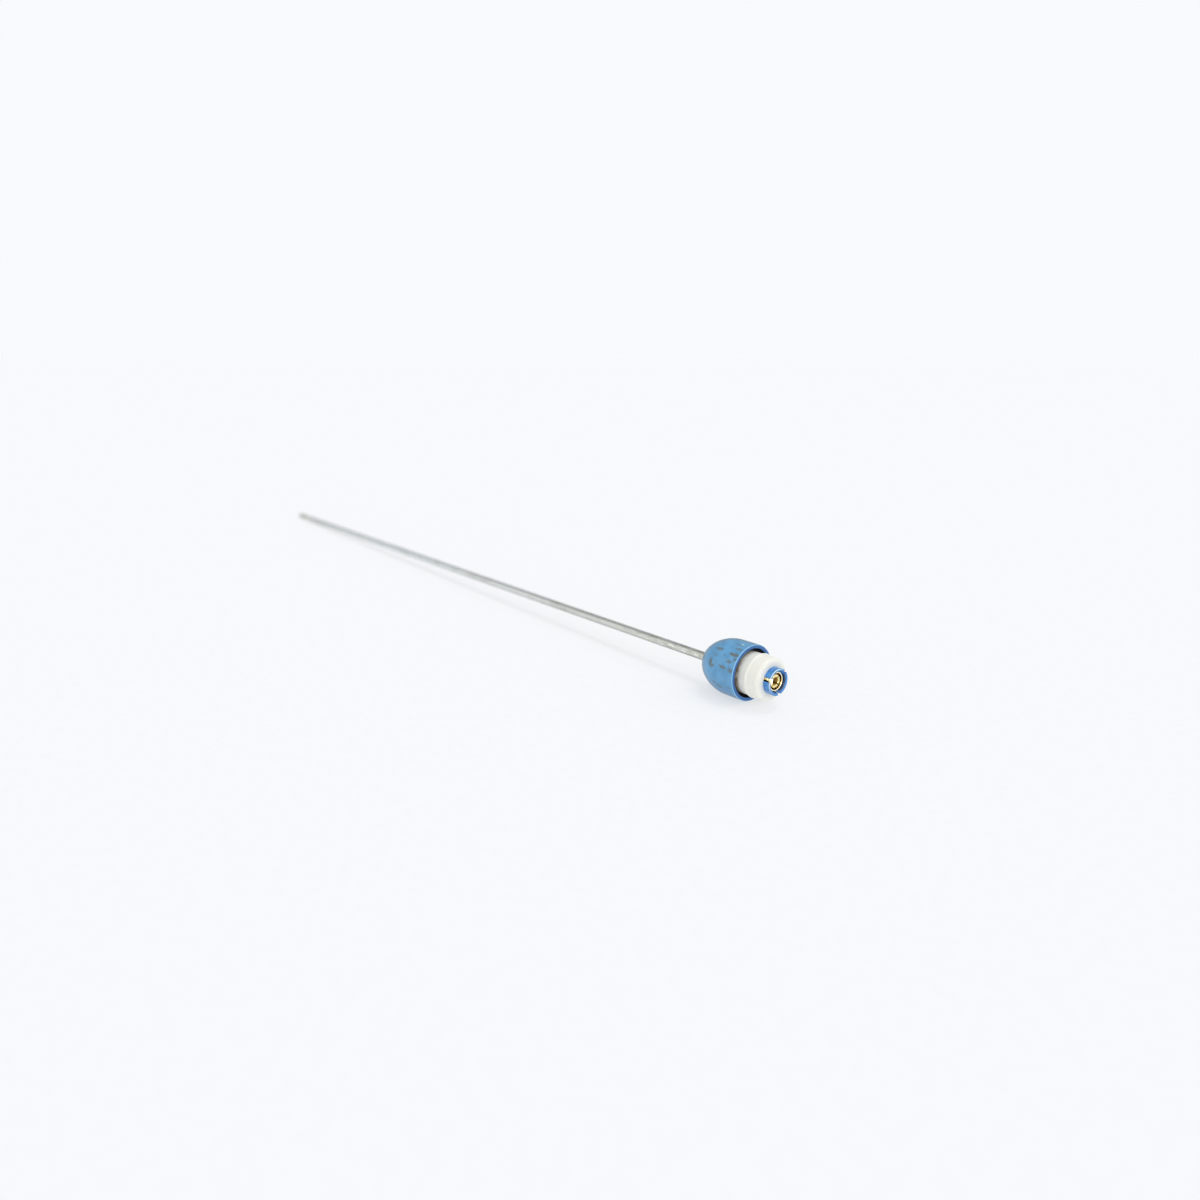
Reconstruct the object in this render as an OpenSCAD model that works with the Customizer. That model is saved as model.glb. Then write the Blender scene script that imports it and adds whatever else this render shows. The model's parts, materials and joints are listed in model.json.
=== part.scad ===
// Slim rigid rod probe with a coaxial push-on plug head.
// The rod's tip points along -X, the plug's socket side along +X, +Z is up.
// The origin is the centre of the plug body's end face. All sizes are in millimetres.

/* [Shaft] */
// outside diameter of the rod
shaft_d = 2.5; // [2.4:0.1:2.6]
// wall of the rod's tube
shaft_wall = 0.4; // [0.35:0.05:0.45]
// from the shell's nose to the end of the tip
working_length = 334; // [120:1:400]
// length of the bare tip electrode
electrode_length = 14; // [6:1:30]
// length of the insulating band behind the tip electrode
band_length = 1.8; // [1:0.2:4]

/* [Shell] */
// outside diameter of the sliding shell
shell_d = 16; // [15.8:0.1:17]
// length of the shell, rim to nose
shell_length = 17; // [16.6:0.1:19]
// wall of the shell
shell_wall = 1.1; // [0.95:0.05:1.2]
// cylindrical length behind the rim, before the nose starts
shell_straight = 6.4; // [6:0.1:7]
// fullness of the nose: 2 is an ellipse
nose_power = 1.85; // [1.8:0.05:2.2]

/* [Plug] */
// diameter of the rib round the plug body, its widest place
body_d = 12.6; // [12.2:0.1:12.8]
// how far the plug body stands out of the shell's rim
body_proud = 7.1; // [6.5:0.1:8]
// outside diameter of the collet ring
collet_d = 7.6; // [7.5:0.1:7.8]
// how far the collet ring stands out of the plug body's face
collet_proud = 2; // [1.5:0.1:3]
// width of each slot in the collet ring
collet_slot = 1.1; // [0.8:0.1:1.2]
// outside diameter of the outer contact
outer_contact_d = 5.4; // [5.3:0.1:5.4]
// bore of the centre contact
centre_bore_d = 2.2; // [2:0.1:2.4]

/* [Hidden] */
$fn = 96;
eps = 0.05;
fit = 0.02; // radial gap of parts that are bonded or pressed together
run = 0.05; // radial gap of parts that slide on each other

// stations along the axis
rim_x = -body_proud;
nose_x = rim_x - shell_length;
nose_start_x = rim_x - shell_straight;
tip_x = nose_x - working_length;
band_x = tip_x + electrode_length;
tube_end_x = band_x + band_length;
stop_x = rim_x - 5.3; // back of the hub flange, where the stop ring rests
stop_back_x = stop_x - 1.6;
flange_x = stop_x + 2; // front of the hub flange
spigot_x = flange_x + 3; // front of the hub core
web_back_x = spigot_x + 1;
web_x = web_back_x + 2.4; // front of the web inside the plug body
hub_end_x = nose_x + 3.9;
nut_back_x = hub_end_x + 0.2;
nut_x = nut_back_x + 1.2; // front of the spring nut
tube_start_x = stop_x - 0.6;
pocket_x = nose_x + 1.1; // bottom of the pocket in the shell's nose
inner_end_x = nose_x + 1.8; // where the cavity's outline would close
wire_start_x = tube_end_x + 3; // the tip electrode's tail ends here
liner_start_x = tube_end_x + 4; // the insulating band's spigot ends here

// radii
shaft_r = shaft_d / 2;
tube_bore_r = shaft_r - shaft_wall;
shell_r = shell_d / 2;
cavity_r = shell_r - shell_wall;
body_r = body_d / 2;
body_front_r = body_r - 0.25; // in front of the rib
body_rear_r = body_r - 0.35; // behind it, down inside the shell
collet_r = collet_d / 2;
collet_wall = 0.85;
collet_root_r = collet_r - 0.2; // the ring's shoulder sits on the plug body's face
outer_contact_r = outer_contact_d / 2;
contact_wall = 0.4;
centre_r = 1.95;
neck_r = 1.1;
wire_r = 0.4;
tail_r = 0.6; // of the tip electrode
spigot_r = 4.6;
barrel_r = 3.2;
hub_bore_r = 2;
coil_r = 4; // middle of the spring's wire
coil_wire_r = 0.25;
coil_turns = 4;

// groove for the seal between the hub and the plug body
seal_groove_x = spigot_x - 2;
seal_groove_w = 0.9;

// shared details
slot_phase = 41; // direction of the first collet slot, from +Y towards +Z
slot_count = 3;
nose_steps = 22;
petal_count = 4;
petal_phase = 45;
petal_slot = 0.3;
centre_bore_depth = 3.2;
face_recess = 0.72; // the outer contact's rim lies this far inside the collet ring
pocket_r = 2.3;
contact_tail = 1.6; // the centre contact's tail reaches this far behind the hub's front

// A solid of revolution about X. The profile's points are [x, r].
module turned(profile) {
    rotate([90, 0, 90])
        rotate_extrude()
            polygon([for (p = profile) [p[1], p[0]]]);
}

// A solid round bar from x0 to x1.
module bar(x0, x1, r) {
    translate([x0, 0, 0])
        rotate([0, 90, 0])
            cylinder(h = x1 - x0, r = r);
}

// A plain round sleeve from x0 to x1.
module sleeve(x0, x1, outer, inner) {
    difference() {
        bar(x0, x1, outer);
        bar(x0 - eps, x1 + eps, inner);
    }
}

// A rubber ring lying in a plane across the axis.
module o_ring(x, middle_r, cord_r) {
    translate([x, 0, 0])
        rotate([0, 90, 0])
            rotate_extrude()
                translate([middle_r, 0])
                    circle(r = cord_r, $fn = 24);
}

// A slot cut from the axis outwards, in the direction given by angle.
module slot_cut(x0, x1, width, reach, angle) {
    rotate([angle, 0, 0])
        translate([x0, 0, -width / 2])
            cube([x1 - x0, reach, width]);
}

// Radius of the nose at a share of its length, for an outline that starts with radius r.
function nose_r(share, r) = r * pow(1 - pow(share, nose_power), 1 / nose_power);

// Share of the nose's length at which an outline starting with radius r comes down to hole_r.
function nose_end_share(r, hole_r) = pow(1 - pow(hole_r / r, nose_power), 1 / nose_power);

// Points of the nose outline from the straight part down to radius hole_r.
function nose_points(r, end_x, hole_r) =
    [for (i = [0:nose_steps])
        let (share = nose_end_share(r, hole_r) * sin(90 * i / nose_steps))
            [nose_start_x + (end_x - nose_start_x) * share, nose_r(share, r)]];

// ---- shaft ----

module tip_electrode() {
    round_r = 0.7;
    taper = 2.2;
    end_r = shaft_r - 0.35;
    color("#94948c")
        turned(concat(
            [[tip_x, 0]],
            [for (a = [10:20:90]) [tip_x + round_r * (1 - cos(a)), end_r - round_r * (1 - sin(a))]],
            [[tip_x + taper, shaft_r],
             [band_x, shaft_r],
             [band_x, tail_r],
             [wire_start_x, tail_r],
             [wire_start_x, 0]]));
}

module tip_band() {
    color("#cfc2a4")
        turned([[band_x, tail_r + fit],
                [band_x, shaft_r],
                [tube_end_x, shaft_r],
                [tube_end_x, tube_bore_r - fit],
                [liner_start_x, tube_bore_r - fit],
                [liner_start_x, tail_r + fit]]);
}

module shaft_tube() {
    color("#a9abae")
        sleeve(tube_end_x, tube_start_x, shaft_r, tube_bore_r);
}

module shaft_liner() {
    liner_proud = 0.4; // it stands out of the tube inside the hub
    color("#f1f0ea")
        sleeve(liner_start_x, tube_start_x + liner_proud, tube_bore_r - fit, wire_r + fit);
}

module centre_wire() {
    color("#c98b54")
        bar(wire_start_x, spigot_x, wire_r);
}

module shaft_ferrule() {
    chamfer = 0.3;
    end_x = stop_x - 0.8;
    color("#b9bbbd")
        turned([[hub_end_x, shaft_r + fit],
                [hub_end_x, hub_bore_r - fit - chamfer],
                [hub_end_x + chamfer, hub_bore_r - fit],
                [end_x, hub_bore_r - fit],
                [end_x, shaft_r + fit]]);
}

// ---- hub, fixed to the shaft ----

module hub_core() {
    groove_r = spigot_r - 0.62;
    relief_r = outer_contact_r - contact_wall;
    relief_x = stop_x - 0.4; // bottom of the wide bore
    color("#c9b26a")
        turned([[hub_end_x, hub_bore_r],
                [hub_end_x, barrel_r],
                [stop_x, barrel_r],
                [stop_x, body_rear_r],
                [flange_x, body_rear_r],
                [flange_x, spigot_r],
                [seal_groove_x, spigot_r],
                [seal_groove_x, groove_r],
                [seal_groove_x + seal_groove_w, groove_r],
                [seal_groove_x + seal_groove_w, spigot_r],
                [spigot_x, spigot_r],
                [spigot_x, relief_r],
                [relief_x, relief_r],
                [relief_x, hub_bore_r]]);
}

module spring_nut() {
    nut_r = 4.1;
    notch = 0.8; // wrench notches in the back face
    notch_depth = 0.6;
    rim = 0.5; // left inside the notches
    color("#9fa2a5")
        difference() {
            sleeve(nut_back_x, nut_x, nut_r, barrel_r + fit);
            for (a = [0:90:270])
                rotate([a, 0, 0])
                    translate([nut_back_x - eps, barrel_r + rim, -notch / 2])
                        cube([notch_depth + eps, notch * 2, notch]);
        }
}

// The spring is a polyhedron swept along a helix: rings of points round the wire, joined in turn.
module return_spring() {
    steps_per_turn = 24;
    ring = 10;
    steps = coil_turns * steps_per_turn;
    start_x = nut_x + coil_wire_r + fit;
    pitch = (stop_back_x - nut_x - 2 * (coil_wire_r + fit)) / coil_turns;
    points = [for (i = [0:steps], j = [0:ring - 1])
        let (turn = 360 * i / steps_per_turn,
             round = 360 * j / ring,
             r = coil_r + coil_wire_r * cos(round))
            [start_x + pitch * i / steps_per_turn + coil_wire_r * sin(round),
             r * cos(turn),
             r * sin(turn)]];
    walls = [for (i = [0:steps - 1], j = [0:ring - 1], half = [0, 1])
        let (a = i * ring + j,
             b = i * ring + (j + 1) % ring)
            half == 0 ? [a, b, b + ring] : [a, b + ring, a + ring]];
    start_cap = [[for (j = [0:ring - 1]) ring - 1 - j]];
    end_cap = [[for (j = [0:ring - 1]) steps * ring + j]];
    color("#b4b6b8")
        polyhedron(points, concat(start_cap, walls, end_cap));
}

// ---- plug ----

module plug_body() {
    edge = 1.5; // axial length of the rounded front edge
    edge_in = 0.85; // how far that edge draws in
    rib_back_x = -4.6;
    rib_x = -4.45;
    bevel_x = -3.7;
    color("#e9e7de")
        turned(concat(
            [[flange_x, spigot_r + fit],
             [flange_x, body_rear_r],
             [rib_back_x, body_rear_r],
             [rib_x, body_r],
             [bevel_x, body_front_r]],
            [for (a = [0:15:90]) [-edge * (1 - sin(a)), body_front_r - edge_in * (1 - cos(a))]],
            [[0, collet_root_r + fit],
             [web_x, collet_root_r + fit],
             [web_x, outer_contact_r + fit],
             [web_back_x, outer_contact_r + fit],
             [web_back_x, spigot_r + fit]]));
}

module body_seal() {
    cord_r = 0.29;
    color("#1c1c1e")
        o_ring(seal_groove_x + seal_groove_w / 2, spigot_r - cord_r - 0.01, cord_r);
}

module collet_ring() {
    chamfer = 0.2;
    slot_floor_x = -1.2;
    inner_r = collet_r - collet_wall;
    color("#3f83cf")
        difference() {
            turned([[web_x, inner_r],
                    [web_x, collet_root_r],
                    [0, collet_root_r],
                    [0, collet_r],
                    [collet_proud - chamfer, collet_r],
                    [collet_proud, collet_r - chamfer],
                    [collet_proud, inner_r + chamfer],
                    [collet_proud - chamfer, inner_r]]);
            for (i = [0:slot_count - 1])
                slot_cut(slot_floor_x, collet_proud + eps, collet_slot, collet_r + 1,
                         slot_phase + 360 / slot_count * i);
        }
}

module outer_contact() {
    lip_x = collet_proud - face_recess;
    chamfer = 0.12;
    inner_r = outer_contact_r - contact_wall;
    color("#d9ad45")
        turned([[spigot_x, inner_r],
                [spigot_x, spigot_r - 0.1],
                [web_back_x, spigot_r - 0.1],
                [web_back_x, outer_contact_r],
                [lip_x - chamfer, outer_contact_r],
                [lip_x, outer_contact_r - chamfer],
                [lip_x, inner_r + chamfer],
                [lip_x - chamfer, inner_r]]);
}

module front_bead() {
    color("#efece2")
        sleeve(web_back_x, web_x + 1, outer_contact_r - contact_wall - fit, neck_r + fit);
}

module rear_bead() {
    length = 2.2;
    color("#efece2")
        sleeve(stop_x, stop_x + length, outer_contact_r - contact_wall - fit, wire_r + fit);
}

module centre_contact() {
    lip_x = 1;
    petal_root_x = lip_x - 2.6;
    chamfer = 0.15;
    bore_r = centre_bore_d / 2;
    shoulder_x = -2.6;
    tail_x = spigot_x - contact_tail;
    color("#dcae3f")
        difference() {
            turned([[tail_x, wire_r + fit],
                    [tail_x, neck_r],
                    [shoulder_x, neck_r],
                    [shoulder_x, centre_r],
                    [lip_x - chamfer, centre_r],
                    [lip_x, centre_r - chamfer],
                    [lip_x, bore_r],
                    [lip_x - centre_bore_depth, bore_r],
                    [lip_x - centre_bore_depth, 0],
                    [spigot_x + fit, 0],
                    [spigot_x + fit, wire_r + fit]]);
            for (i = [0:petal_count - 1])
                slot_cut(petal_root_x, lip_x + eps, petal_slot, centre_r + 1,
                         petal_phase + 360 / petal_count * i);
        }
}

module crimp_sleeve() {
    sleeve_r = 1.6;
    color("#b7b9bc")
        sleeve(spigot_x - contact_tail, spigot_x - 0.1, sleeve_r, neck_r + fit);
}

module index_key() {
    width = 0.55;
    height = 0.85;
    back_x = -1;
    length = 2.1;
    off_centre = 0.18; // it stands to one side of its slot
    key_angle = slot_phase + 360 / slot_count;
    color("#e0b64a")
        rotate([key_angle, 0, 0])
            translate([back_x, outer_contact_r, -width / 2 - off_centre])
                cube([length, height, width]);
}

// ---- sleeve, slides along the shaft ----

module shell() {
    rim_round = 0.3;
    nose_hole_r = shaft_r + 0.07;
    groove_r = cavity_r + 0.25;
    groove_x = stop_x + 0.05;
    groove_w = 0.6;
    outside = concat(
        [for (a = [0:30:90]) [rim_x - rim_round * (1 - cos(a)), shell_r - rim_round * (1 - sin(a))]],
        nose_points(shell_r, nose_x, nose_hole_r));
    inside = nose_points(cavity_r, inner_end_x, pocket_r);
    color("#4a86c5")
        turned(concat(
            outside,
            [[pocket_x, nose_hole_r],
             [pocket_x, pocket_r]],
            [for (i = [nose_steps:-1:0]) inside[i]],
            [[groove_x, cavity_r],
             [groove_x, groove_r],
             [groove_x + groove_w, groove_r],
             [groove_x + groove_w, cavity_r],
             [rim_x, cavity_r]]));
}

module nose_bush() {
    flange = 1.1;
    flange_r = 2.7;
    chamfer = 0.4;
    back_x = pocket_x + 0.85; // the nose seal lies behind it
    seat_x = nose_points(cavity_r, inner_end_x, pocket_r)[nose_steps][0] + fit;
    color("#b08d4a")
        turned([[back_x, shaft_r + run],
                [back_x, pocket_r - fit],
                [seat_x, pocket_r - fit],
                [seat_x + chamfer, flange_r],
                [seat_x + flange, flange_r],
                [seat_x + flange, shaft_r + run]]);
}

module nose_seal() {
    cord_r = 0.4;
    color("#1c1c1e")
        o_ring(pocket_x + cord_r + fit, shaft_r + cord_r + fit, cord_r);
}

module stop_ring() {
    chamfer = 0.5;
    color("#17171a")
        turned([[stop_back_x, barrel_r + run],
                [stop_back_x, cavity_r - chamfer],
                [stop_back_x + chamfer, cavity_r - fit],
                [stop_x, cavity_r - fit],
                [stop_x, barrel_r + run]]);
}

module snap_ring() {
    back_x = stop_x + 0.07;
    ring_w = 0.55;
    bite = 0.23; // reach into the shell's groove
    gap_w = 3;
    color("#8b8e92")
        difference() {
            sleeve(back_x, back_x + ring_w, cavity_r + bite, body_rear_r + 0.35);
            slot_cut(back_x - eps, back_x + ring_w + eps, gap_w, shell_r, 165);
        }
}

tip_electrode();
tip_band();
shaft_tube();
shaft_liner();
centre_wire();
shaft_ferrule();
hub_core();
spring_nut();
return_spring();
plug_body();
body_seal();
collet_ring();
outer_contact();
front_bead();
rear_bead();
centre_contact();
crimp_sleeve();
index_key();
shell();
nose_bush();
nose_seal();
stop_ring();
snap_ring();
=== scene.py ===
"""Looks for the rigid rod probe: smooth turned pieces, procedural materials, studio and camera."""

import json
import math

import bpy
import bmesh
from mathutils import Matrix, Vector


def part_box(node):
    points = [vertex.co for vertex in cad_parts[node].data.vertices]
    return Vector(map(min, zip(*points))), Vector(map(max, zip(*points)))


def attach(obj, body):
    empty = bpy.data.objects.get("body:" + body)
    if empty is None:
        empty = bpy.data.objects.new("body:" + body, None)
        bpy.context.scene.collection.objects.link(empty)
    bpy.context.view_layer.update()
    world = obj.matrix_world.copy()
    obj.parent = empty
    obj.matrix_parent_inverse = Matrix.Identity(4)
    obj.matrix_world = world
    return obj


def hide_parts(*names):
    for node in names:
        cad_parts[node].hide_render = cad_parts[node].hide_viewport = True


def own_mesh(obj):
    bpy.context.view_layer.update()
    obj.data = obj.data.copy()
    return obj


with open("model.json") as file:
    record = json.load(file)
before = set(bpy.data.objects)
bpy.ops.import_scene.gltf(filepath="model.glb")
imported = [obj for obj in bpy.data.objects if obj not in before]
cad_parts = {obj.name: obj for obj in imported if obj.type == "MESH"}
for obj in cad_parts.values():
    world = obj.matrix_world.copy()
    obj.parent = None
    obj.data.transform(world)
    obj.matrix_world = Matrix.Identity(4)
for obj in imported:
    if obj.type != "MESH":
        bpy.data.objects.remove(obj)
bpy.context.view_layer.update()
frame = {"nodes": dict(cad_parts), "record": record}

MM = 0.001
TINY = 1e-6
ROUND = 128  # sides of a large turned piece
FINE = 192  # sides of the largest ones


# ---- places and sizes, in millimetres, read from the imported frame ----

def ends(node):
    """(start, end) of a CAD node along X."""
    low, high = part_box(node)
    return low.x / MM, high.x / MM


def outer(node):
    """Outside radius of a round CAD node, to the nearest hundredth."""
    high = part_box(node)[1]
    return round(max(high.y, high.z) / MM, 2)


tip_x, tip_tail_x = ends("tip_electrode")
band_x, band_spigot_x = ends("tip_band")
tube_x, tube_end_x = ends("shaft_tube")
rim_x = ends("shell")[1]
flange_x = ends("plug_body")[0]
stop_back_x, stop_x = ends("stop_ring")
web_x, collet_x = ends("collet_ring")  # the ring's root rests on the plug body's web
contact_root_x, lip_x = ends("outer_contact")
centre_tail_x, centre_lip_x = ends("centre_contact")
key_back_x, key_x = ends("index_key")
nut_x = ends("spring_nut")[1]
rod_r = outer("shaft_tube")
shell_r = outer("shell")
body_r = outer("plug_body")
body_rear_r = outer("hub_core")
stop_r = outer("stop_ring")
collet_r = outer("collet_ring")
contact_flange_r = outer("outer_contact")
centre_r = outer("centre_contact")

# Sizes that the boxes don't show, the same as in the CAD model.
FIT = 0.02  # gap between pieces that fit together
SHELL_LENGTH = 17.0  # from the rim to where the nose's outline would close
SHELL_STRAIGHT = 6.4  # behind the rim, before the nose starts
NOSE_POWER = 1.85  # fullness of the nose: 2 is an ellipse
COLLET_WALL = 0.85
WEB = 2.4  # thickness of the plug body between the collet ring and the outer contact's flange
SLOT_PHASE = 41.0  # direction of the first collet slot, from +Y towards +Z
CONTACT_R = 2.7  # the outer contact's tube
CONTACT_BORE_R = 2.3
CENTRE_BORE_R = 1.1
ROD_WALL = 0.4
TIP_TAIL_R = 0.6
cavity_r = stop_r + FIT
body_front_r = body_r - 0.25
collet_root_r = collet_r - 0.2
tube_bore_r = rod_r - ROD_WALL
web_back_x = web_x - WEB
key_direction = SLOT_PHASE + 120  # the key stands in the second slot


# ---- mesh tools ----

def rounded(corners, steps=6):
    """Outline through corners (x, r, fillet): each corner with a fillet becomes an arc of that radius."""
    points = []
    count = len(corners)
    for i, (x, r, fillet) in enumerate(corners):
        here = Vector((x, r))
        back = Vector(corners[i - 1][:2]) - here
        ahead = Vector(corners[(i + 1) % count][:2]) - here
        if fillet == 0:
            points.append(here)
            continue
        half = back.angle(ahead) / 2
        reach = min(fillet / math.tan(half), 0.49 * back.length, 0.49 * ahead.length)
        fillet = reach * math.tan(half)
        middle = here + (back.normalized() + ahead.normalized()).normalized() * (fillet / math.sin(half))
        first = here + back.normalized() * reach - middle
        last = here + ahead.normalized() * reach - middle
        sweep = first.angle(last)
        side = 1 if first.x * last.y - first.y * last.x > 0 else -1
        for step in range(steps + 1):
            turn = Matrix.Rotation(side * sweep * step / steps, 2)
            points.append(middle + turn @ first)
    return [(p.x, p.y) for p in points]


def finish_mesh(name, bm, body, node, smooth_angle=35):
    """Turns a bmesh made in millimetres into a piece that stands for its CAD node and rides on a body."""
    bmesh.ops.scale(bm, vec=(MM, MM, MM), verts=bm.verts)
    bmesh.ops.recalc_face_normals(bm, faces=bm.faces)
    mesh = bpy.data.meshes.new(name)
    bm.to_mesh(mesh)
    bm.free()
    mesh.shade_smooth()
    mesh.set_sharp_from_angle(angle=math.radians(smooth_angle))
    mesh.materials.append(materials[slots[node]])
    piece = bpy.data.objects.new(name, mesh)
    bpy.context.collection.objects.link(piece)
    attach(piece, body)
    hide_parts(node)
    return piece


def column(bm, outline, poles, angle_at, top_x=math.inf):
    """Vertices {index: vertex} of the outline's points up to top_x, turned by angle_at(r) round the axis.

    Points on the axis are made once and kept in poles."""
    points = {}
    for i, (x, r) in enumerate(outline):
        if x > top_x + TINY:
            continue
        if r < TINY:
            if i not in poles:
                poles[i] = bm.verts.new((x, 0, 0))
            points[i] = poles[i]
        else:
            angle = angle_at(r)
            points[i] = bm.verts.new((x, r * math.cos(angle), r * math.sin(angle)))
    return points


def join(bm, here, there):
    """Faces between two closed rows of vertices, along the indices that both have."""
    shared = [i for i in here if i in there]
    for i, j in zip(shared, shared[1:] + shared[:1]):
        corners = list(dict.fromkeys((here[i], here[j], there[j], there[i])))
        if len(corners) > 2:
            bm.faces.new(corners)


def join_round(bm, columns):
    """Faces from each column to the next, all the way round."""
    for here, there in zip(columns, columns[1:] + columns[:1]):
        join(bm, here, there)


def turned(outline, sides=ROUND):
    """A bmesh solid of revolution about X from a closed outline of (x, r)."""
    bm = bmesh.new()
    poles = {}
    columns = []
    for i in range(sides):
        angle = math.tau * i / sides
        columns.append(column(bm, outline, poles, lambda r: angle))
    join_round(bm, columns)
    return bm


def turned_with_slots(outline, sides, floor_x, width, count, phase):
    """A turned solid with parallel-sided slots that open towards +X, the first one at phase degrees.

    The outline has a point on each wall at floor_x, where the slots end."""
    bm = bmesh.new()
    poles = {}
    columns = []
    wall = [i for i, (x, r) in enumerate(outline) if x > floor_x - TINY]
    pitch = math.tau / count
    finger_sides = sides // count
    # Places round one slot and the finger after it: -1 to 1 across the slot, 1 to 2 along the finger.
    shares = [-1, -1 / 3, 1 / 3] + [1 + i / finger_sides for i in range(finger_sides)]
    for part in range(count):
        middle = math.radians(phase) + pitch * part
        for share in shares:
            def angle_at(r):
                half = math.asin(width / 2 / r)
                if share < 1:
                    return middle + half * share
                return middle + half + (pitch - 2 * half) * (share - 1)

            in_slot = abs(share) < 1
            points = column(bm, outline, poles, angle_at, floor_x if in_slot else math.inf)
            if abs(share) == 1:
                bm.faces.new([points[i] for i in wall])
            columns.append(points)
    join_round(bm, columns)
    return bm


def prism(outline, low, high):
    """A bmesh prism whose outline of (x, y) runs from z low to z high."""
    bm = bmesh.new()
    near, far = ([bm.verts.new((x, y, z)) for x, y in outline] for z in (low, high))
    bm.faces.new(near)
    bm.faces.new(far[::-1])
    join(bm, dict(enumerate(near)), dict(enumerate(far)))
    return bm


def add_bevel(piece, width):
    """Small round edges where the piece's faces meet sharply."""
    bevel = piece.modifiers.new("edges", "BEVEL")
    bevel.width = width * MM
    bevel.segments = 3
    bevel.limit_method = "ANGLE"
    bevel.angle_limit = math.radians(40)
    bevel.harden_normals = True


# ---- material tools ----

def add(tree, kind, inputs=None, **settings):
    """Adds a shader node. An input may be a value or another node's output."""
    made = tree.nodes.new("ShaderNode" + kind)
    for key, value in settings.items():
        setattr(made, key, value)
    for key, value in (inputs or {}).items():
        connect(tree, made.inputs[key], value)
    return made


def connect(tree, socket, value):
    """Feeds a socket with a value or with another node's output."""
    if isinstance(value, bpy.types.NodeSocket):
        tree.links.new(value, socket)
    else:
        socket.default_value = value


def place(tree, along=1.0, across=1.0):
    """Object coordinates in millimetres, stretched: a pattern grows longer as its number gets smaller."""
    coords = add(tree, "TexCoord")
    scale = (along / MM, across / MM, across / MM)
    return add(tree, "Mapping", {"Vector": coords.outputs["Object"], "Scale": scale}).outputs["Vector"]


def noise(tree, where, scale=1.0, detail=4.0, rough=0.5):
    """Noise from 0 to 1."""
    inputs = {"Vector": where, "Scale": scale, "Detail": detail, "Roughness": rough}
    return add(tree, "TexNoise", inputs).outputs["Fac"]


def ramp(tree, value, low, high, start=0.0, end=1.0):
    """Maps value from low..high to start..end, smoothly and clamped."""
    inputs = {"Value": value, "From Min": low, "From Max": high, "To Min": start, "To Max": end}
    return add(tree, "MapRange", inputs, interpolation_type="SMOOTHSTEP").outputs["Result"]


def math_of(tree, operation, a, b=0.0):
    """One arithmetic step."""
    return add(tree, "Math", {0: a, 1: b}, operation=operation).outputs[0]


def both(tree, a, b):
    """Share where both a and b hold."""
    return math_of(tree, "MULTIPLY", a, b)


def either(tree, a, b):
    """Share where a or b holds."""
    return math_of(tree, "MAXIMUM", a, b)


def mix(tree, share, a, b):
    """Colour a, turning to colour b with share."""
    made = tree.nodes.new("ShaderNodeMix")
    made.data_type = "RGBA"
    for index, value in ((0, share), (6, a), (7, b)):
        connect(tree, made.inputs[index], value)
    return made.outputs[2]


def axis_x(tree):
    """Distance along the axis, in millimetres."""
    coords = add(tree, "TexCoord")
    split = add(tree, "SeparateXYZ", {"Vector": coords.outputs["Object"]})
    return math_of(tree, "MULTIPLY", split.outputs["X"], 1 / MM)


def off_axis(tree):
    """Distance from the axis, in millimetres."""
    coords = add(tree, "TexCoord")
    scale = (0, 1 / MM, 1 / MM)
    flat = add(tree, "VectorMath", {0: coords.outputs["Object"], 1: scale}, operation="MULTIPLY")
    return add(tree, "VectorMath", {0: flat.outputs[0]}, operation="LENGTH").outputs["Value"]


def dot(tree, a, b):
    """Dot product of two vectors."""
    return add(tree, "VectorMath", {0: a, 1: b}, operation="DOT_PRODUCT").outputs["Value"]


def radial(tree):
    """Unit vector from the axis to the surface."""
    coords = add(tree, "TexCoord")
    flat = add(tree, "VectorMath", {0: coords.outputs["Object"], 1: (0, 1, 1)}, operation="MULTIPLY")
    return add(tree, "VectorMath", {0: flat.outputs[0]}, operation="NORMALIZE").outputs[0]


def facing_out(tree):
    """Which way the surface faces: 1 away from the axis, -1 towards it."""
    return dot(tree, radial(tree), add(tree, "TexCoord").outputs["Normal"])


def on_side(tree, direction):
    """Where the surface lies round the axis: 1 at a direction (degrees from +Y towards +Z), -1 opposite."""
    turn = math.radians(direction)
    return dot(tree, radial(tree), (0, math.cos(turn), math.sin(turn)))


def patch(tree, x, direction, length, width, ragged):
    """1 inside a soft oval patch on the shell's side, 0 outside. Half sizes are in millimetres."""
    reach = 3  # across the wall, so that the patch takes in the curved nose as well
    turn = math.radians(direction)
    middle = (x * MM, shell_r * math.cos(turn) * MM, shell_r * math.sin(turn) * MM)
    coords = add(tree, "TexCoord").outputs["Object"]
    local = add(tree, "Mapping", {"Vector": coords, "Location": middle, "Rotation": (turn, 0, 0),
                                  "Scale": (length * MM, reach * MM, width * MM)}, vector_type="TEXTURE")
    away = add(tree, "VectorMath", {0: local.outputs[0]}, operation="LENGTH").outputs["Value"]
    return ramp(tree, math_of(tree, "ADD", away, ragged), 0.7, 1.3, 1, 0)


def bump(tree, height, depth, normal=None):
    """Bump from a height of 0 to 1 that stands for depth millimetres."""
    inputs = {"Height": height, "Distance": depth * MM, "Strength": 1.0}
    if normal:
        inputs["Normal"] = normal
    return add(tree, "Bump", inputs).outputs["Normal"]


def colour(red, green, blue):
    """A display colour of 0 to 255 as the linear colour that nodes use."""
    linear = [((c / 255 + 0.055) / 1.055) ** 2.4 if c > 10 else c / 255 / 12.92 for c in (red, green, blue)]
    return (*linear, 1.0)


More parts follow.
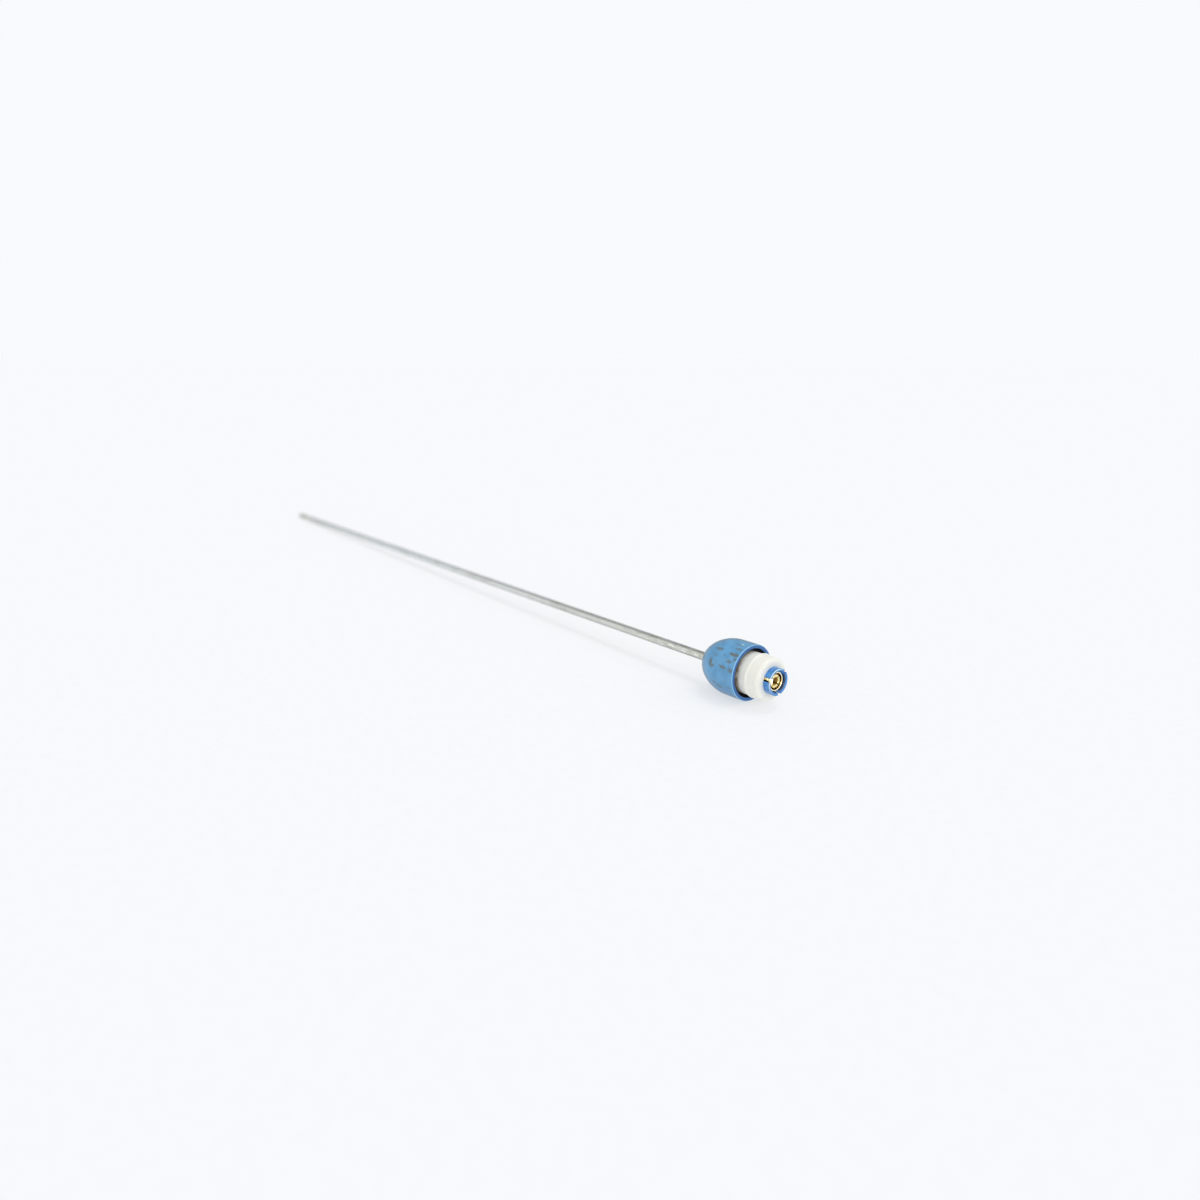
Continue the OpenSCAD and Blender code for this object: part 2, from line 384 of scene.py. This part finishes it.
def material(name, build):
    """A node material whose surface is the Principled settings that build(tree) gives."""
    made = bpy.data.materials.new(name)
    made.use_nodes = True
    tree = made.node_tree
    tree.nodes.clear()
    surface = add(tree, "BsdfPrincipled", build(tree))
    output = add(tree, "OutputMaterial")
    tree.links.new(surface.outputs[0], output.inputs["Surface"])
    made.diffuse_color = (0.6, 0.6, 0.6, 1)
    return made


# ---- materials ----

# Places on the shell where the paint is worn through: (distance behind the rim, direction round the axis
# from +Y towards +Z, half length, half width, how far the paint is gone).
WORN = [
    (0.8, 141, 0.6, 0.4, 0.8),
    (1.1, 164, 1.0, 0.55, 0.8),
    (1.7, 132, 1.7, 0.5, 1.0),
    (1.8, 117, 1.2, 0.35, 0.7),
    (1.8, -160, 0.7, 0.5, 0.4),
    (2.4, 148, 1.1, 0.5, 0.8),
    (3.1, 105, 1.5, 0.35, 0.5),
    (4.0, 162, 1.3, 0.45, 0.9),
    (4.8, 138, 0.5, 0.3, 0.4),
    (5.5, -154, 1.2, 0.5, 0.6),
    (6.9, -160, 1.2, 0.5, 0.5),
    (7.4, 128, 1.5, 0.42, 0.8),
    (7.7, 143, 0.8, 0.35, 0.4),
    (7.7, 166, 0.7, 0.45, 0.8),
    (8.8, 160, 0.6, 1.0, 1.0),
    (9.3, 106, 1.4, 0.4, 0.4),
]
WORN_SIDE = 155  # direction of the middle of those places; noise wears the other side


def shell_wear(tree):
    """How far the shell's paint is gone, 0 to 1: the worn places, noise on the far side, fine specks."""
    ragged = ramp(tree, noise(tree, place(tree, 0.8, 1.2), 1.3, 3), 0.2, 0.8, -0.45, 0.45)
    worn = ramp(tree, noise(tree, place(tree, 0.55, 1.0), 0.8, 3, 0.5), 0.58, 0.66, 0, 0.9)
    worn = both(tree, worn, ramp(tree, on_side(tree, WORN_SIDE), -0.2, 0.2, 1, 0))
    for behind, direction, length, width, share in WORN:
        spot = patch(tree, rim_x - behind, direction, length, width, ragged)
        worn = either(tree, worn, both(tree, spot, share))
    specks = ramp(tree, noise(tree, place(tree, 0.8, 1.6), 2.2, 4, 0.6), 0.6, 0.72, 0, 0.5)
    return either(tree, worn, specks)


def shell_paint(tree):
    """Azure paint on metal, worn in soft spots, with a painted highlight on the rim's crest, painted grey
    shade on the silhouette, a painted darker underside and a black inside.
    """
    x, r = axis_x(tree), off_axis(tree)
    tone = noise(tree, place(tree), 0.35, 3)
    paint = mix(tree, ramp(tree, tone, 0.35, 0.65), colour(84, 150, 196), colour(96, 163, 209))
    haze = noise(tree, place(tree, 0.5, 1.4), 0.9, 5, 0.6)
    paint = mix(tree, ramp(tree, haze, 0.5, 0.7, 0, 0.55), paint, colour(112, 152, 178))
    worn = shell_wear(tree)
    bare = mix(tree, noise(tree, place(tree), 3.0, 4), colour(80, 98, 100), colour(114, 114, 104))
    base = mix(tree, both(tree, worn, 0.9), paint, bare)
    glint = patch(tree, rim_x - 2.4, 101, 0.4, 0.25, 0.0)
    base = mix(tree, both(tree, glint, 0.8), base, colour(196, 218, 196))
    # painted grey shade along the silhouette, where the surface turns edge-on to the view
    edge_on = add(tree, "LayerWeight", {"Blend": 0.5}).outputs["Facing"]
    base = mix(tree, ramp(tree, edge_on, 0.62, 0.93, 0, 0.85), base, colour(92, 112, 118))
    # painted darker shade on the underside
    shaded_underside = ramp(tree, on_side(tree, -90), 0.0, 1.0, 0, 0.55)
    base = mix(tree, shaded_underside, base, colour(46, 104, 150))
    # the rim face is made a darker blue, and a pale painted highlight runs along its outer crest
    at_rim = ramp(tree, x, rim_x - 0.34, rim_x - 0.24)
    base = mix(tree, at_rim, base, colour(30, 100, 168))
    rim_highlight = both(tree, at_rim, ramp(tree, r, shell_r - 0.24, shell_r - 0.14))
    base = mix(tree, rim_highlight, base, colour(136, 192, 230))
    inward = ramp(tree, facing_out(tree), -0.9, -0.5, 1, 0)
    behind_rim = ramp(tree, x, rim_x - 0.3, rim_x - 0.15, 1, 0)
    base = mix(tree, both(tree, inward, behind_rim), base, colour(16, 18, 20))
    skin = bump(tree, noise(tree, place(tree), 9.0, 3), 0.006)
    chipped = bump(tree, math_of(tree, "SUBTRACT", 1.0, worn), 0.02, skin)
    return {"Base Color": base, "Roughness": ramp(tree, worn, 0, 1, 0.42, 0.62), "Normal": chipped,
            "Coat Weight": 0.3, "Coat Roughness": 0.2}


def ivory_plastic(tree):
    """Warm white moulded plastic, with painted grey shade where it enters the shell and a brown tinge on
    one side right at the shell's rim.
    """
    x = axis_x(tree)
    cloud = noise(tree, place(tree), 0.5, 4)
    base = mix(tree, ramp(tree, cloud, 0.3, 0.7), colour(240, 239, 229), colour(244, 243, 234))
    # painted grey shade where the plug enters the shell
    shaded = ramp(tree, x, rim_x - 0.6, rim_x + 1.7, 0.22, 0.0)
    base = mix(tree, shaded, base, colour(196, 196, 182))
    # brown tinge right at the shell's rim, strongest on the side towards -Y
    rim_brown_mottle = ramp(tree, noise(tree, place(tree, 1.0, 0.5), 1.2, 4, 0.6), 0.35, 0.6, 0.2, 1.0)
    rim_brown_mottle = both(tree, rim_brown_mottle, ramp(tree, on_side(tree, 178), 0.55, 0.95, 0.12, 1.0))
    rim_brown = both(tree, ramp(tree, x, rim_x - 0.1, rim_x + 0.6, 0.8, 0.0), rim_brown_mottle)
    base = mix(tree, rim_brown, base, colour(142, 108, 62))
    rings = noise(tree, place(tree, 9.0, 0.05), 1.0, 3)
    return {"Base Color": base, "Roughness": 0.46, "Normal": bump(tree, rings, 0.006),
            "Subsurface Weight": 0.12, "Subsurface Radius": (0.6, 0.5, 0.4), "Subsurface Scale": 0.6 * MM}


def collet_plastic(tree):
    """Glossy blue plastic with a few scuffs, a pale painted highlight on its upper front edge and painted
    navy shade on its inner walls.
    """
    tone = noise(tree, place(tree), 0.8, 3)
    base = mix(tree, ramp(tree, tone, 0.35, 0.65), colour(48, 122, 194), colour(66, 144, 214))
    scuffs = noise(tree, place(tree, 2.5, 0.7), 1.5, 5, 0.65)
    base = mix(tree, ramp(tree, scuffs, 0.62, 0.74, 0, 0.5), base, colour(130, 180, 226))
    x, r = axis_x(tree), off_axis(tree)
    front = ramp(tree, x, collet_x - 0.3, collet_x - 0.2)
    corner = both(tree, front, ramp(tree, r, collet_r - 0.2, collet_r - 0.08, 0, 0.5))
    base = mix(tree, corner, base, colour(32, 84, 150))
    # a pale painted highlight along the upper front edge, on the lit side
    lit_side = ramp(tree, on_side(tree, 135), -0.2, 0.9, 0, 0.9)
    edge = ramp(tree, r, collet_r - 0.4, collet_r - 0.32)
    edge = both(tree, edge, ramp(tree, r, collet_r - 0.08, collet_r, 1, 0))
    rubbed_and_highlit = both(tree, front, both(tree, lit_side, edge))
    base = mix(tree, rubbed_and_highlit, base, colour(206, 240, 252))
    # painted navy shade on the inner walls
    inward = ramp(tree, facing_out(tree), -0.95, -0.75, 0.85, 0)
    base = mix(tree, inward, base, colour(14, 34, 78))
    return {"Base Color": base, "Roughness": ramp(tree, scuffs, 0.4, 0.7, 0.14, 0.3), "Coat Weight": 0.5,
            "Coat Roughness": 0.08, "Normal": bump(tree, noise(tree, place(tree), 7.0, 3), 0.003)}


def gold_plate(tree):
    """Pale gold plating with fine turning rings, and painted dark brown shade down in the gap between the
    contacts.

    The bore and the lip glow a little as painted light, and a painted white highlight glows where the key
    meets the centre contact."""
    x, r = axis_x(tree), off_axis(tree)
    tone = noise(tree, place(tree), 1.1, 4)
    base = mix(tree, ramp(tree, tone, 0.35, 0.7), colour(255, 240, 186), colour(250, 220, 142))
    # painted dark brown shade down in the gap between the contacts
    in_gap = both(tree, ramp(tree, r, 1.7, 1.95), ramp(tree, r, CONTACT_R + 0.02, CONTACT_R + 0.08, 1, 0))
    deep = ramp(tree, x, centre_lip_x - 0.5, centre_lip_x - 0.1, 1, 0)
    base = mix(tree, both(tree, in_gap, deep), base, colour(84, 52, 22))
    # the lip is painted pale cream as a painted highlight, and glows a little further down
    on_lip = ramp(tree, r, CONTACT_BORE_R - 0.1, CONTACT_BORE_R - 0.05)
    lip = both(tree, on_lip, ramp(tree, x, lip_x - 0.14, lip_x - 0.06))
    base = mix(tree, lip, base, colour(255, 248, 222))
    # painted dark brown shade at the bottom of the bore
    in_bore = ramp(tree, r, CENTRE_BORE_R + 0.02, CENTRE_BORE_R + 0.1, 1, 0)
    bottom = both(tree, in_bore, ramp(tree, x, centre_lip_x - 3.0, centre_lip_x - 2.2, 1, 0))
    base = mix(tree, bottom, base, colour(96, 62, 22))
    # painted light: the bore glows a little
    bore_glow = both(tree, in_bore, ramp(tree, x, centre_lip_x - 2.6, centre_lip_x - 1.8, 0, 0.16))
    # a painted white highlight that glows where the key meets the centre contact
    by_key = ramp(tree, on_side(tree, key_direction), 0.8, 0.92)
    at_mouth = ramp(tree, x, centre_lip_x - 0.5, centre_lip_x - 0.2)
    at_mouth = both(tree, at_mouth, ramp(tree, r, 1.65, 1.85, 1, 0))
    glint = both(tree, by_key, at_mouth)
    glow = either(tree, bore_glow, either(tree, both(tree, lip, 0.12), both(tree, glint, 1.8)))
    rings = noise(tree, place(tree, 14.0, 0.1), 1.0, 3)
    return {"Base Color": base, "Metallic": 1.0, "Roughness": ramp(tree, tone, 0.3, 0.7, 0.12, 0.24),
            "Emission Color": mix(tree, glint, colour(206, 172, 92), colour(255, 252, 240)),
            "Emission Strength": glow, "Normal": bump(tree, rings, 0.002)}


def metal(light, dark, rough, depth, lengthwise=False):
    """A metal worked in one direction: turned round the axis, or drawn along it."""
    def build(tree):
        where = place(tree, 0.03, 6.0) if lengthwise else place(tree, 14.0, 0.08)
        lines = noise(tree, where, 1.0, 4, 0.6)
        stains = noise(tree, place(tree, 0.25, 0.8), 0.7, 4)
        base = mix(tree, ramp(tree, lines, 0.3, 0.7), light, dark)
        base = mix(tree, ramp(tree, stains, 0.55, 0.75, 0, 0.3), base, dark)
        matt = ramp(tree, lines, 0.3, 0.7, rough, rough + 0.14)
        return {"Base Color": base, "Metallic": 1.0, "Roughness": matt, "Normal": bump(tree, lines, depth)}
    return build


def rod_steel(tree):
    """Drawn stainless tube: hair lines along it, cloudy patches, stained and rubbed marks near the head."""
    x = axis_x(tree)
    hair = noise(tree, place(tree, 0.04, 9.0), 1.0, 5, 0.6)
    cloud = noise(tree, place(tree, 0.12, 0.5), 1.0, 4)
    fresh = mix(tree, ramp(tree, x, rim_x - 200, rim_x - 20), colour(238, 243, 243), colour(216, 218, 210))
    base = mix(tree, ramp(tree, hair, 0.3, 0.7, 0, 0.6), fresh, colour(198, 203, 198))
    base = mix(tree, ramp(tree, cloud, 0.45, 0.7, 0, 0.4), base, colour(176, 179, 172))
    near_head = ramp(tree, x, rim_x - 75, rim_x - 25, 0.0, 0.09)
    stain = math_of(tree, "ADD", noise(tree, place(tree, 0.22, 0.9), 1.0, 4, 0.6), near_head)
    base = mix(tree, ramp(tree, stain, 0.58, 0.68, 0, 0.5), base, colour(172, 167, 155))
    # bright rubbed marks near the head, real wear
    rubbed_and_highlit = math_of(tree, "ADD", noise(tree, place(tree, 0.35, 1.8), 1.0, 3), near_head)
    base = mix(tree, ramp(tree, rubbed_and_highlit, 0.66, 0.72, 0, 0.85), base, colour(240, 240, 234))
    # painted darker shade on the underside
    shaded_underside = ramp(tree, on_side(tree, -118), 0.6, 0.95, 0, 0.8)
    base = mix(tree, shaded_underside, base, colour(128, 130, 124))
    return {"Base Color": base, "Metallic": 1.0, "Roughness": ramp(tree, hair, 0.3, 0.7, 0.26, 0.42),
            "Anisotropic": 0.4, "Normal": bump(tree, hair, 0.004)}


def tip_metal(tree):
    """Steel that darkens towards the working tip."""
    x = axis_x(tree)
    hair = noise(tree, place(tree, 0.08, 7.0), 1.0, 4)
    stain = noise(tree, place(tree, 0.4, 0.8), 0.9, 5, 0.6)
    base = mix(tree, ramp(tree, hair, 0.3, 0.7), colour(222, 222, 214), colour(196, 196, 188))
    stained = ramp(tree, stain, 0.4, 0.7, 0, 0.2)
    dark = math_of(tree, "ADD", ramp(tree, x, tip_x, tip_x + 9, 0.45, 0.0), stained)
    base = mix(tree, dark, base, colour(152, 151, 136))
    return {"Base Color": base, "Metallic": 0.9, "Roughness": 0.4, "Normal": bump(tree, hair, 0.004)}


def plain(light, dark, rough, scale=1.2, depth=0.006):
    """A dull moulded or turned plastic, or rubber: cloudy colour and a fine grained surface."""
    def build(tree):
        cloud = noise(tree, place(tree), scale, 4)
        base = mix(tree, ramp(tree, cloud, 0.35, 0.65), light, dark)
        grain = noise(tree, place(tree), scale * 8, 3)
        return {"Base Color": base, "Roughness": ramp(tree, grain, 0.3, 0.7, rough - 0.06, rough + 0.06),
                "Normal": bump(tree, grain, depth)}
    return build


SURFACES = {
    "shell_blue": shell_paint,
    "ivory_plastic": ivory_plastic,
    "collet_blue": collet_plastic,
    "contact_gold": gold_plate,
    "shaft_steel": rod_steel,
    "tip_metal": tip_metal,
    "tip_band": plain(colour(222, 214, 192), colour(208, 199, 174), 0.55),
    "liner": plain(colour(238, 236, 228), colour(226, 224, 214), 0.5),
    "copper_wire": metal(colour(214, 142, 94), colour(178, 106, 66), 0.28, 0.002, lengthwise=True),
    "inner_steel": metal(colour(198, 200, 202), colour(150, 152, 154), 0.28, 0.004),
    "hub_metal": metal(colour(206, 176, 104), colour(164, 134, 70), 0.3, 0.004),
    "seal_rubber": plain(colour(30, 30, 31), colour(20, 20, 21), 0.65),
    "black_plastic": plain(colour(22, 22, 24), colour(12, 12, 13), 0.6),
}
slots = {part["node"]: part["material_slot"] for part in frame["record"]["subparts"]}
materials = {slot: material(slot, build) for slot, build in SURFACES.items()}
for node_name, cad in frame["nodes"].items():
    cad.data.materials.clear()
    cad.data.materials.append(materials[slots[node_name]])


# ---- pieces ----

def nose(closing_x, r, end_r, steps=40):
    """Outline of a bullet nose from its full radius r down to end_r. It would close at closing_x."""
    start_x = rim_x - SHELL_STRAIGHT
    last = (1 - (end_r / r) ** NOSE_POWER) ** (1 / NOSE_POWER)
    points = []
    for i in range(steps + 1):
        share = last * math.sin(math.pi / 2 * i / steps)
        height = (1 - share ** NOSE_POWER) ** (1 / NOSE_POWER)
        points.append((start_x + (closing_x - start_x) * share, r * height))
    return points


def shell():
    """Bullet-shaped shell: round rim, straight skirt, full nose, stepped bore and a snap-ring groove."""
    closing_x = rim_x - SHELL_LENGTH
    nose_wall = 1.8
    hole_r = rod_r + 0.07
    pocket_x, pocket_r = closing_x + 1.1, 2.3
    groove_x, groove_end_x, groove_r = stop_x + 0.05, stop_x + 0.65, cavity_r + 0.25
    outside = nose(closing_x, shell_r, hole_r)
    inside = nose(closing_x + nose_wall, cavity_r, pocket_r)
    rim = rounded([
        (inside[0][0], cavity_r, 0),
        (rim_x, cavity_r, 0.3),
        (rim_x, shell_r, 0.4),
        (outside[0][0], shell_r, 0)], 8)
    groove = [
        (groove_x, cavity_r),
        (groove_x, groove_r),
        (groove_end_x, groove_r),
        (groove_end_x, cavity_r)]
    pocket = [(pocket_x, hole_r), (pocket_x, pocket_r)]
    outline = groove + rim[1:] + outside[1:] + pocket + inside[::-1]
    finish_mesh("bullet_shell", turned(outline, FINE), "sleeve", "shell")


def plug_body():
    """Ivory plug body: plain skirt, a raised rib with a bevelled front, and a full round front edge."""
    rib_back_x, rib_x, rib_front_x, bevel_x = -4.65, -4.5, -4.3, -3.7
    flange_pocket_r = contact_flange_r + 0.12
    outline = rounded([
        (flange_x, flange_pocket_r, 0),
        (flange_x, body_rear_r, 0.2),
        (rib_back_x, body_rear_r, 0.08),
        (rib_x, body_r, 0.12),
        (rib_front_x, body_r, 0.15),
        (bevel_x, body_front_r, 0.3),
        (0, body_front_r, 1.15),
        (0, collet_root_r + FIT, 0.08),
        (web_x, collet_root_r + FIT, 0),
        (web_x, CONTACT_R + FIT, 0),
        (web_back_x, CONTACT_R + FIT, 0),
        (web_back_x, flange_pocket_r, 0)], 10)
    finish_mesh("ivory_plug_body", turned(outline, FINE), "probe", "plug_body")


def collet_ring():
    """Blue ring with three parallel-sided slots cut down through its wall."""
    floor_x, slot_width = -1.2, 1.1
    inner_r = collet_r - COLLET_WALL
    rim = rounded([
        (floor_x, inner_r, 0),
        (collet_x, inner_r, 0.26),
        (collet_x, collet_r, 0.16),
        (0, collet_r, 0)], 5)
    root = [(0, collet_root_r), (floor_x, collet_root_r), (web_x, collet_root_r), (web_x, inner_r)]
    bm = turned_with_slots(rim + root, 144, floor_x, slot_width, 3, SLOT_PHASE)
    add_bevel(finish_mesh("collet_ring_slotted", bm, "probe", "collet_ring"), 0.07)


def outer_contact():
    """Gold tube with a rounded lip, and a flange behind the plug body's web."""
    outline = rounded([
        (contact_root_x, CONTACT_BORE_R, 0),
        (contact_root_x, contact_flange_r, 0.05),
        (web_back_x, contact_flange_r, 0.05),
        (web_back_x, CONTACT_R, 0.05),
        (lip_x, CONTACT_R, 0.16),
        (lip_x, CONTACT_BORE_R, 0.16)], 6)
    finish_mesh("outer_contact_ring", turned(outline, 144), "probe", "outer_contact")


def centre_contact():
    """Gold socket with four petals and a round mouth, then a thin neck with a hole for the wire."""
    floor_x, bore_end_x, socket_x = centre_lip_x - 2.6, centre_lip_x - 3.2, -2.6
    petal_gap, petal_phase = 0.3, 45
    neck_r, wire_hole_r = 1.1, 0.42
    mouth = rounded([
        (floor_x, CENTRE_BORE_R, 0),
        (centre_lip_x, CENTRE_BORE_R, 0.18),
        (centre_lip_x, centre_r, 0.3),
        (floor_x, centre_r, 0)], 6)
    neck = [(socket_x, centre_r), (socket_x, neck_r), (centre_tail_x, neck_r)]
    wire_hole = [(centre_tail_x, wire_hole_r), (contact_root_x, wire_hole_r), (contact_root_x, 0)]
    bore = [(bore_end_x, 0), (bore_end_x, CENTRE_BORE_R)]
    bm = turned_with_slots(mouth + neck + wire_hole + bore, 96, floor_x, petal_gap, 4, petal_phase)
    add_bevel(finish_mesh("centre_contact_petals", bm, "probe", "centre_contact"), 0.05)


def shaft_tube():
    """The rod's bare tube."""
    outline = rounded([
        (tube_x, tube_bore_r, 0),
        (tube_x, rod_r, 0.06),
        (tube_end_x, rod_r, 0.06),
        (tube_end_x, tube_bore_r, 0)], 4)
    finish_mesh("rod_tube", turned(outline), "probe", "shaft_tube")


def tip_band():
    """Insulating band between tube and tip, with a spigot inside the tube."""
    spigot_r, bore_r = tube_bore_r - FIT, TIP_TAIL_R + FIT
    outline = rounded([
        (band_x, bore_r, 0),
        (band_x, rod_r, 0.1),
        (tube_x, rod_r, 0.1),
        (tube_x, spigot_r, 0),
        (band_spigot_x, spigot_r, 0.05),
        (band_spigot_x, bore_r, 0)], 4)
    finish_mesh("tip_band_ring", turned(outline), "probe", "tip_band")


def tip_electrode():
    """Tip with a short taper and a round end, and a tail inside the band."""
    taper, end_r = 2.2, rod_r - 0.35
    outline = rounded([
        (tip_x, 0, 0),
        (tip_x, end_r, 0.75),
        (tip_x + taper, rod_r, 2.0),
        (band_x, rod_r, 0.08),
        (band_x, TIP_TAIL_R, 0),
        (tip_tail_x, TIP_TAIL_R, 0.05),
        (tip_tail_x, 0, 0)], 10)
    finish_mesh("tip_electrode_round", turned(outline), "probe", "tip_electrode")


def stop_ring():
    """Black ring at the bottom of the gap, with a moulded groove in its front face."""
    bore_r, chamfer = 3.25, 0.5
    groove_r, groove_end_r, groove_depth, draft = 6.3, 6.75, 0.25, 0.05
    outline = rounded([
        (stop_back_x, bore_r, 0.05),
        (stop_back_x, stop_r - chamfer, 0.1),
        (stop_back_x + chamfer, stop_r, 0.05),
        (stop_x, stop_r, 0.05),
        (stop_x, groove_end_r, 0.04),
        (stop_x - groove_depth, groove_end_r - draft, 0.06),
        (stop_x - groove_depth, groove_r + draft, 0.06),
        (stop_x, groove_r, 0.04),
        (stop_x, bore_r, 0.05)], 4)
    finish_mesh("stop_ring_grooved", turned(outline, 160), "sleeve", "stop_ring")


def index_key():
    """Gold key standing in one collet slot: a bar with a rounded front and a lower foot behind."""
    top_r, foot_r, foot_x, ramp_length = 3.55, 3.43, key_x - 1.4, 0.2
    width, off_centre = 0.55, 0.18
    side = rounded([
        (key_back_x, CONTACT_R, 0),
        (key_x, CONTACT_R, 0.05),
        (key_x, top_r, 0.3),
        (foot_x + ramp_length, top_r, 0.2),
        (foot_x, foot_r, 0.2),
        (key_back_x, foot_r, 0.1)], 6)
    bm = prism(side, -off_centre - width / 2, -off_centre + width / 2)
    bmesh.ops.transform(bm, matrix=Matrix.Rotation(math.radians(key_direction), 4, "X"), verts=bm.verts)
    add_bevel(finish_mesh("index_key_bar", bm, "probe", "index_key"), 0.06)


def spring():
    """Coil spring with closed end turns, from the spring nut to the stop ring."""
    middle_r, wire_r, turns = 4.0, 0.25, 4
    closing = 0.055  # how far the end turns close up, as a share of the length
    steps, sides = 48, 16  # along one turn, and round the wire
    start_x, end_x = nut_x + wire_r, stop_back_x - wire_r
    along = Vector((1, 0, 0))
    bm = bmesh.new()
    rings = []
    for i in range(turns * steps + 1):
        share = i / (turns * steps)
        angle = math.tau * turns * share
        out = Vector((0, math.cos(angle), math.sin(angle)))
        x = start_x + (end_x - start_x) * (share - closing * math.sin(math.tau * share))
        ring = {}
        for j in range(sides):
            around = math.tau * j / sides
            across = out * math.cos(around) + along * math.sin(around)
            ring[j] = bm.verts.new(along * x + out * middle_r + across * wire_r)
        rings.append(ring)
    for here, there in zip(rings, rings[1:]):
        join(bm, here, there)
    bm.faces.new(list(rings[0].values())[::-1])
    bm.faces.new(rings[-1].values())
    piece = finish_mesh("coil_spring", bm, "probe", "return_spring", 60)
    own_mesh(piece)


shell()
plug_body()
collet_ring()
outer_contact()
centre_contact()
shaft_tube()
tip_band()
tip_electrode()
stop_ring()
index_key()
spring()


# ---- studio ----

# The object lies on the shell's rim and the tip, so the floor is tilted to the axis.
lean = math.asin((shell_r - rod_r) / (rim_x - tip_x))
on_floor = Matrix.Rotation(lean, 4, "Y")
touch = Vector((rim_x - 0.4, 0, -shell_r)) * MM

FLOOR_SIZE = 40.0  # metres to each side, so that its edge is out of sight
FLOOR_GLOW = 0.62  # light the floor gives off itself, which keeps the shadows on it pale
PAPER_WHITE = (0.939, 0.955, 0.98, 1)  # the surroundings as the camera sees them, the same as the lit floor
AMBIENT = (0.78, 0.7878, 0.8034, 1)  # light from all round on dull surfaces
DIM_ROOM = (0.43, 0.44, 0.45, 1)  # this and the next two are what glossy surfaces reflect
BRIGHT_ROOM = (1.02, 1.03, 1.04, 1)
LAMP = (6, 6, 6, 1)
TO_PLUG_SIDE = (0.85, -0.5, 0.15)
TO_CAMERA_SIDE = (0.0, -1.0, 0.0)
TO_LAMP = (0.57, -0.75, 0.33)


def floor():
    """One pale sheet, flat under the object."""
    bm = bmesh.new()
    bmesh.ops.create_grid(bm, x_segments=8, y_segments=8, size=FLOOR_SIZE)
    mesh = bpy.data.meshes.new("floor")
    bm.to_mesh(mesh)
    bm.free()
    sheet = bpy.data.objects.new("floor", mesh)
    bpy.context.collection.objects.link(sheet)
    sheet.matrix_world = Matrix.Translation(touch) @ on_floor
    mesh.materials.append(material("floor_paper", paper))


def paper(tree):
    """Pale matt paper with a hint of cloudiness."""
    grain = noise(tree, place(tree), 0.4, 3)
    base = mix(tree, ramp(tree, grain, 0.4, 0.6), (0.335, 0.343, 0.356, 1), (0.343, 0.351, 0.364, 1))
    return {"Base Color": base, "Roughness": 0.9, "Specular IOR Level": 0.0,
            "Emission Color": (0.945, 0.95, 0.955, 1), "Emission Strength": FLOOR_GLOW}


def soft_light(name, strength, spread, azimuth, elevation):
    """Soft light from far off. Azimuth 0 comes from -Y, 90 from +X. Spread is the size of its disc."""
    data = bpy.data.lights.new(name, "SUN")
    data.angle = math.radians(spread)
    data.energy = strength
    lamp = bpy.data.objects.new(name, data)
    bpy.context.collection.objects.link(lamp)
    lamp.rotation_euler = (math.radians(90 - elevation), 0, math.radians(azimuth))


def surroundings():
    """Even studio room: white to the camera, but dim overhead and behind in reflections.

    That draws the dark line along the top of the rod."""
    world = bpy.data.worlds.new("studio")
    bpy.context.scene.world = world
    world.use_nodes = True
    tree = world.node_tree
    tree.nodes.clear()
    rays = add(tree, "LightPath")
    sight = add(tree, "TexCoord").outputs["Generated"]
    plug_side = ramp(tree, dot(tree, sight, TO_PLUG_SIDE), -0.1, 0.6)
    camera_side = ramp(tree, dot(tree, sight, TO_CAMERA_SIDE), 0.12, 0.58)
    reflected = mix(tree, either(tree, plug_side, camera_side), DIM_ROOM, BRIGHT_ROOM)
    reflected = mix(tree, ramp(tree, dot(tree, sight, TO_LAMP), 0.972, 0.988), reflected, LAMP)
    lit = mix(tree, rays.outputs["Is Glossy Ray"], AMBIENT, reflected)
    shown = mix(tree, rays.outputs["Is Camera Ray"], lit, PAPER_WHITE)
    background = add(tree, "Background", {"Color": shown, "Strength": 1.0})
    tree.links.new(background.outputs[0], add(tree, "OutputWorld").inputs["Surface"])


def camera():
    """Wide, close camera at the photograph's angle, focused on the head so that the far tip softens."""
    azimuth, elevation = math.radians(51.8), math.radians(16.0)
    distance = 0.2801  # metres, as are the aim and the focus
    aim = Vector((-0.0740, 0, 0.0069))
    focus_x = rim_x * MM + 0.004
    back = Vector((math.sin(azimuth) * math.cos(elevation), -math.cos(azimuth) * math.cos(elevation),
                   math.sin(elevation)))
    data = bpy.data.cameras.new("camera")
    data.sensor_width = 36
    data.lens = 25.48
    data.clip_start = 0.005
    data.clip_end = 100
    view = bpy.data.objects.new("camera", data)
    bpy.context.collection.objects.link(view)
    tilt = on_floor.to_3x3()
    turn = tilt @ back.to_track_quat("Z", "Y").to_matrix()
    view.matrix_world = Matrix.Translation(aim + tilt @ back * distance) @ turn.to_4x4()
    focus = bpy.data.objects.new("focus", None)
    bpy.context.collection.objects.link(focus)
    focus.location = (focus_x, 0, 0)
    data.dof.use_dof = True
    data.dof.focus_object = focus
    data.dof.aperture_fstop = 8
    bpy.context.scene.camera = view


floor()
soft_light("key", strength=0.6, spread=26, azimuth=150, elevation=74)
soft_light("front", strength=0.45, spread=50, azimuth=75, elevation=25)
surroundings()
camera()
bpy.context.scene.view_settings.view_transform = "Standard"
